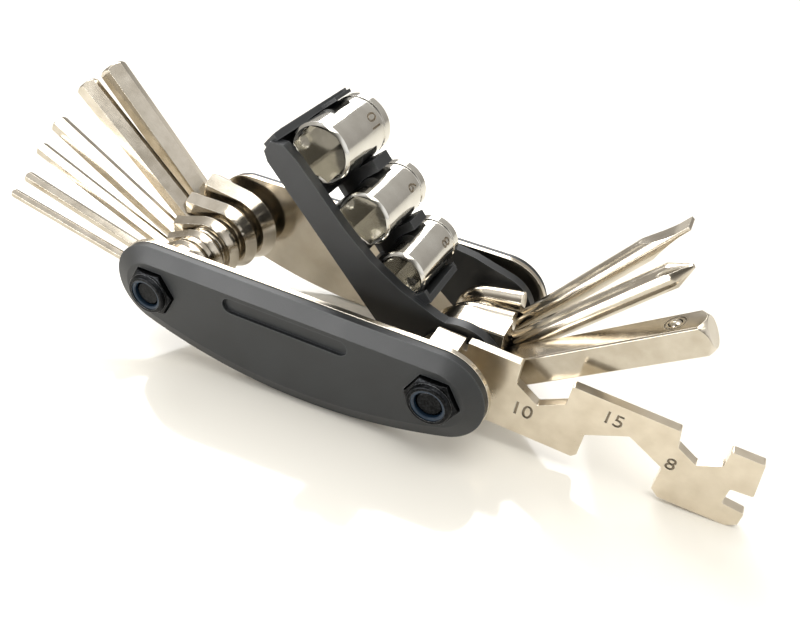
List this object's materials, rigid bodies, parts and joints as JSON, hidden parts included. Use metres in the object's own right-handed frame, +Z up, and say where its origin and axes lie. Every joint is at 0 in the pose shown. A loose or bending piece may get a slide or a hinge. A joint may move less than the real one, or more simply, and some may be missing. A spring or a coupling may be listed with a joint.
{
  "type": "folding bicycle multi-tool",
  "caption": "Folding bicycle multi-tool: hex keys on one axle, spanner, screwdrivers, square drive bar and a socket holder on the other, between black covers.",
  "frame": {"origin": "on the front cover's flat outer face, midway between the two axles", "axes": "+X from the hex key axle to the socket side axle, +Y from the front cover to the rear cover, +Z up"},
  "size_m": [0.1754, 0.0467, 0.0609],
  "materials": {
    "cover_plastic": "fine moulded texture",
    "holder_plastic": "satin moulded",
    "nickel_steel": "bright nickel plate, warm tone",
    "bolt_steel": "black oxide",
    "nylon": "dark blue nylon",
    "socket_chrome": "polished chrome",
    "ball_steel": "polished steel"
  },
  "bodies": {
    "frame": {"front_cover": "cover_plastic", "rear_cover": "cover_plastic", "front_liner": "nickel_steel", "rear_liner": "nickel_steel", "left_axle_bolt": "bolt_steel", "right_axle_bolt": "bolt_steel", "lock_nuts": "bolt_steel", "nylon_inserts": "nylon", "left_washers": "nickel_steel", "right_washers": "nickel_steel"},
    "hex_key_2mm": {"hex_key_2mm": "nickel_steel"},
    "hex_key_2_5mm": {"hex_key_2_5mm": "nickel_steel"},
    "hex_key_3mm": {"hex_key_3mm": "nickel_steel"},
    "hex_key_4mm": {"hex_key_4mm": "nickel_steel"},
    "hex_key_5mm": {"hex_key_5mm": "nickel_steel"},
    "hex_key_6mm": {"hex_key_6mm": "nickel_steel"},
    "square_drive_bar": {"square_drive_bar": "nickel_steel", "detent_spring": "ball_steel"},
    "phillips_screwdriver": {"phillips_screwdriver": "nickel_steel"},
    "flat_screwdriver": {"flat_screwdriver": "nickel_steel"},
    "spanner": {"spanner": "nickel_steel"},
    "detent_ball": {"detent_ball": "ball_steel"},
    "socket_holder": {"socket_holder": "holder_plastic"},
    "socket_10mm": {"socket_10mm": "socket_chrome"},
    "socket_9mm": {"socket_9mm": "socket_chrome"},
    "socket_8mm": {"socket_8mm": "socket_chrome"}
  },
  "joints": [
    {"name": "hex_key_2mm_fold", "type": "hinge", "parent": "frame", "child": "hex_key_2mm", "pos_m": [-0.0338, 0.00815, 0], "axis": [0, -1, 0], "range_deg": [-20, 196.1]},
    {"name": "hex_key_2_5mm_fold", "type": "hinge", "parent": "frame", "child": "hex_key_2_5mm", "pos_m": [-0.0338, 0.0128, 0], "axis": [0, -1, 0], "range_deg": [-20, 194.4]},
    {"name": "hex_key_3mm_fold", "type": "hinge", "parent": "frame", "child": "hex_key_3mm", "pos_m": [-0.0338, 0.017, 0], "axis": [0, -1, 0], "range_deg": [-20, 207.5]},
    {"name": "hex_key_4mm_fold", "type": "hinge", "parent": "frame", "child": "hex_key_4mm", "pos_m": [-0.0338, 0.02175, 0], "axis": [0, -1, 0], "range_deg": [-20, 214]},
    {"name": "hex_key_5mm_fold", "type": "hinge", "parent": "frame", "child": "hex_key_5mm", "pos_m": [-0.0338, 0.0275, 0], "axis": [0, -1, 0], "range_deg": [-20, 225.8]},
    {"name": "hex_key_6mm_fold", "type": "hinge", "parent": "frame", "child": "hex_key_6mm", "pos_m": [-0.0338, 0.03425, 0], "axis": [0, -1, 0], "range_deg": [-20, 229.1]},
    {"name": "square_drive_bar_fold", "type": "hinge", "parent": "frame", "child": "square_drive_bar", "pos_m": [0.0338, 0.01745, 0], "axis": [0, 1, 0], "range_deg": [-8, 206.1]},
    {"name": "phillips_screwdriver_fold", "type": "hinge", "parent": "frame", "child": "phillips_screwdriver", "pos_m": [0.0338, 0.02315, 0], "axis": [0, 1, 0], "range_deg": [-8, 217.8]},
    {"name": "flat_screwdriver_fold", "type": "hinge", "parent": "frame", "child": "flat_screwdriver", "pos_m": [0.0338, 0.031, 0], "axis": [0, 1, 0], "range_deg": [-8, 223]},
    {"name": "spanner_fold", "type": "hinge", "parent": "frame", "child": "spanner", "pos_m": [0.0338, 0.0103, 0], "axis": [0, 1, 0], "range_deg": [0, 176.5]},
    {"name": "detent_ball_press", "type": "slide", "parent": "square_drive_bar", "child": "detent_ball", "axis": [0.5779, 0, -0.8161], "range_m": [0, 0.0006], "stiffness_N_per_m": 400, "springref_m": -0.002},
    {"name": "socket_holder_fold", "type": "hinge", "parent": "frame", "child": "socket_holder", "pos_m": [0.0338, 0.0246, 0], "axis": [0, -1, 0], "range_deg": [-30, 60]},
    {"name": "socket_10mm_pull", "type": "slide", "parent": "socket_holder", "child": "socket_10mm", "axis": [-0.766, 0, -0.6428], "range_m": [-0.0105, 0]},
    {"name": "socket_9mm_pull", "type": "slide", "parent": "socket_holder", "child": "socket_9mm", "axis": [-0.766, 0, -0.6428], "range_m": [-0.0105, 0]},
    {"name": "socket_8mm_pull", "type": "slide", "parent": "socket_holder", "child": "socket_8mm", "axis": [-0.766, 0, -0.6428], "range_m": [-0.0105, 0]}
  ]
}
